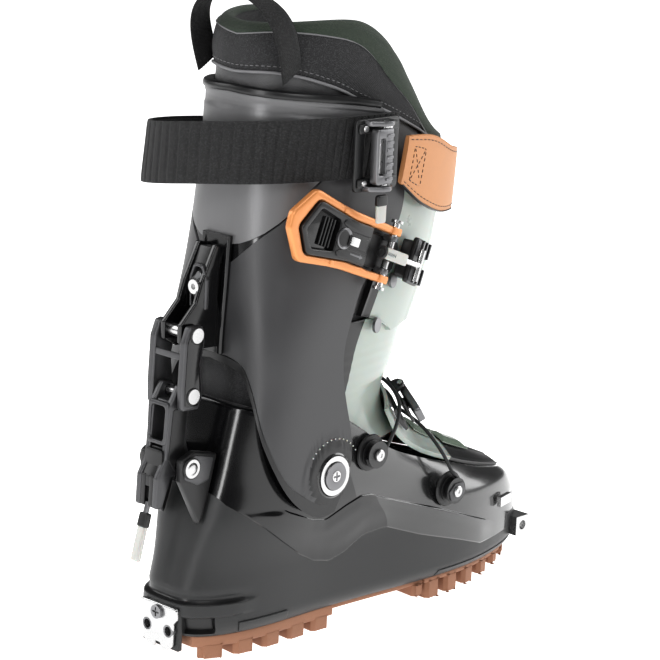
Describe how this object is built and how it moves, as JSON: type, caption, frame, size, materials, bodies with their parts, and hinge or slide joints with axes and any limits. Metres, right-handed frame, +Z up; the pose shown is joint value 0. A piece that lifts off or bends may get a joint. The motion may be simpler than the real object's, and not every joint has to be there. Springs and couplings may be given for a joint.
{
  "type": "ski touring boot",
  "caption": "Right-foot ski touring boot with a flexing cuff, removable-style liner, walk lever, cuff buckle, top strap and lace pulleys.",
  "frame": {"origin": "on the ground under the cuff pivot, on the bottom face of the heel tread's middle lug", "axes": "+X to the toe, +Y to the inner side of the foot, +Z up"},
  "size_m": [0.3129, 0.1356, 0.3716],
  "materials": {
    "shell_plastic": "satin",
    "cuff_plastic": "satin",
    "black_plastic": "gloss",
    "grey_metal": "satin",
    "steel": "brushed",
    "gum_rubber": "matt",
    "liner_fabric": "woven",
    "collar_fabric": "woven",
    "tongue_plastic": "satin",
    "clear_green": "gloss",
    "webbing": "woven",
    "orange_strap": "woven",
    "orange_metal": "satin",
    "white_tab": "matt",
    "cable": "satin"
  },
  "bodies": {
    "lower": {"lower_shell": "shell_plastic", "heel_tread": "gum_rubber", "arch_tread": "gum_rubber", "forefoot_tread": "gum_rubber", "heel_insert": "steel", "heel_insert_screws": "steel", "toe_insert": "steel", "toe_clips": "steel", "boot_board": "shell_plastic", "liner_foot": "liner_fabric", "footbed": "collar_fabric", "instep_tongue": "tongue_plastic", "instep_plates": "clear_green", "instep_strap": "black_plastic", "instep_buckle_base": "black_plastic", "pulley_brackets": "steel", "pulley_axles": "steel", "lace_cable": "cable", "link_bracket": "black_plastic", "link_pin": "steel", "pivot_bushes": "black_plastic"},
    "cuff": {"cuff_shell": "cuff_plastic", "cuff_spine": "black_plastic", "cuff_rim": "black_plastic", "pivot_rings": "steel", "pivot_screws": "grey_metal", "lean_bracket": "black_plastic", "lean_slot_plate": "grey_metal", "lean_bolt": "steel", "frame_axle": "steel", "shin_tongue": "tongue_plastic", "tongue_rivets": "grey_metal", "liner_upper": "liner_fabric", "liner_collar": "collar_fabric", "pull_loop": "webbing", "strap_rear": "webbing", "strap_front": "orange_strap", "strap_buckle": "grey_metal", "buckle_base": "black_plastic", "buckle_pin": "steel", "buckle_ladder": "black_plastic"},
    "walk_link": {"walk_lever": "black_plastic", "lock_pin": "steel", "lock_spring": "steel"},
    "lock_frame": {"lock_frame": "grey_metal", "frame_pin_caps": "steel"},
    "lever_tab": {"lever_tab": "white_tab"},
    "buckle_lever": {"buckle_lever": "orange_metal", "buckle_insert": "black_plastic"},
    "buckle_rod": {"buckle_rod": "steel"},
    "buckle_barrel": {"buckle_barrel": "black_plastic"},
    "strap_cam": {"strap_cam": "steel"},
    "strap_tab": {"strap_tab": "white_tab"},
    "instep_lever": {"instep_lever": "grey_metal"},
    "pulley_rear_outer": {"pulley_rear_outer": "black_plastic"},
    "pulley_front_outer": {"pulley_front_outer": "black_plastic"},
    "pulley_rear_inner": {"pulley_rear_inner": "black_plastic"},
    "pulley_front_inner": {"pulley_front_inner": "black_plastic"}
  },
  "joints": [
    {"name": "cuff_flex", "type": "hinge", "parent": "lower", "child": "cuff", "pos_m": [0, 0, 0.1006], "axis": [0, 1, 0], "range_deg": [-10, 25]},
    {"name": "walk_link", "type": "hinge", "parent": "lower", "child": "walk_link", "pos_m": [-0.081, 0, 0.113], "axis": [0, 1, 0], "range_deg": [-10, 25]},
    {"name": "lock_slide", "type": "slide", "parent": "walk_link", "child": "lock_frame", "axis": [0.0541, 0, 0.9985], "range_m": [-0.0142, 0.0352]},
    {"name": "lever_tab_swing", "type": "hinge", "parent": "walk_link", "child": "lever_tab", "pos_m": [-0.09801, 0, 0.08738], "axis": [0, 1, 0], "range_deg": [-30, 50]},
    {"name": "buckle_open", "type": "hinge", "parent": "cuff", "child": "buckle_lever", "pos_m": [0.026, -0.058, 0.226], "axis": [0.3584, 0, 0.9336], "range_deg": [0, 110]},
    {"name": "buckle_rod_swing", "type": "hinge", "parent": "buckle_lever", "child": "buckle_rod", "pos_m": [0.0148, -0.0636, 0.2303], "axis": [0.3584, 0, 0.9336], "range_deg": [-110, 0]},
    {"name": "barrel_turn", "type": "hinge", "parent": "buckle_rod", "child": "buckle_barrel", "pos_m": [0.0148, -0.0636, 0.2303], "axis": [0.9336, 0, -0.3584], "continuous": true},
    {"name": "strap_cam_open", "type": "hinge", "parent": "cuff", "child": "strap_cam", "pos_m": [0.01, -0.067, 0.285], "axis": [0, 0, 1], "range_deg": [0, 80]},
    {"name": "strap_tab_swing", "type": "hinge", "parent": "strap_cam", "child": "strap_tab", "pos_m": [0.0075, -0.0682, 0.2636], "axis": [1, 0, 0], "range_deg": [-70, 0]},
    {"name": "instep_lever_open", "type": "hinge", "parent": "lower", "child": "instep_lever", "pos_m": [0.08782, -0.02104, 0.12783], "axis": [-0.5878, 0, 0.809], "range_deg": [0, 28]},
    {"name": "pulley_rear_outer_turn", "type": "hinge", "parent": "lower", "child": "pulley_rear_outer", "pos_m": [0.036, -0.0465, 0.106], "axis": [0, 1, 0], "continuous": true},
    {"name": "pulley_front_outer_turn", "type": "hinge", "parent": "lower", "child": "pulley_front_outer", "pos_m": [0.107, -0.0459, 0.07], "axis": [0, 1, 0], "continuous": true},
    {"name": "pulley_rear_inner_turn", "type": "hinge", "parent": "lower", "child": "pulley_rear_inner", "pos_m": [0.036, 0.0465, 0.106], "axis": [0, 1, 0], "continuous": true},
    {"name": "pulley_front_inner_turn", "type": "hinge", "parent": "lower", "child": "pulley_front_inner", "pos_m": [0.107, 0.0459, 0.07], "axis": [0, 1, 0], "continuous": true}
  ],
  "couplings": [
    {"joint": "walk_link", "follows": "cuff_flex", "ratio": 1},
    {"joint": "lock_slide", "follows": "cuff_flex", "m_per_rad": 0.0802},
    {"joint": "buckle_rod_swing", "follows": "buckle_open", "ratio": -1}
  ]
}
